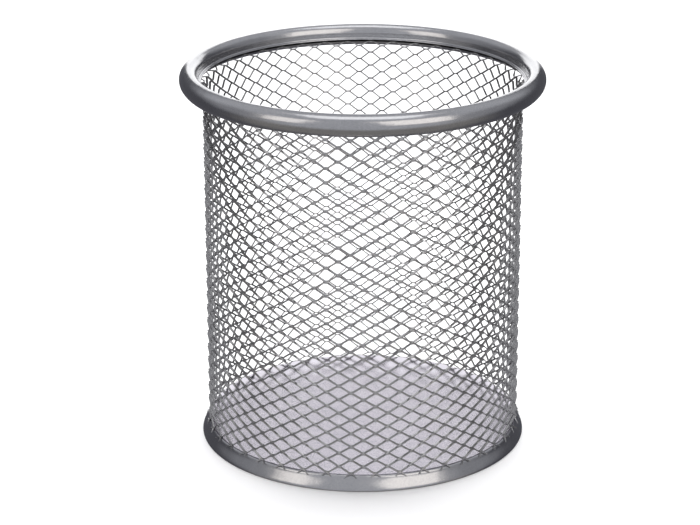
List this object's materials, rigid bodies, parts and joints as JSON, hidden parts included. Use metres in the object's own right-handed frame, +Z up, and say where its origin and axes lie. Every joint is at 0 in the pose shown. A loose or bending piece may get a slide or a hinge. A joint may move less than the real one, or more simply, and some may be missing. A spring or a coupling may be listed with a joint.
{
  "type": "pen holder cup",
  "caption": "Round desk cup for pens: expanded-metal mesh wall, rolled sheet rim and pressed base with a flared skirt, in silver paint.",
  "frame": {"origin": "centre of the footprint, on the surface the cup stands on", "axes": "+Z up along the cup's axis; the cup is round, so X and Y are any two level directions"},
  "size_m": [0.09, 0.09, 0.0955],
  "materials": {
    "rim_paint": "satin silver paint on rolled steel sheet, fine metallic flake",
    "mesh_paint": "satin silver paint on expanded steel mesh",
    "base_paint": "satin silver paint on pressed steel sheet, fine metallic flake"
  },
  "bodies": {
    "root": {"top_rim": "rim_paint", "mesh_sleeve": "mesh_paint", "base_pan": "base_paint"}
  },
  "joints": []
}
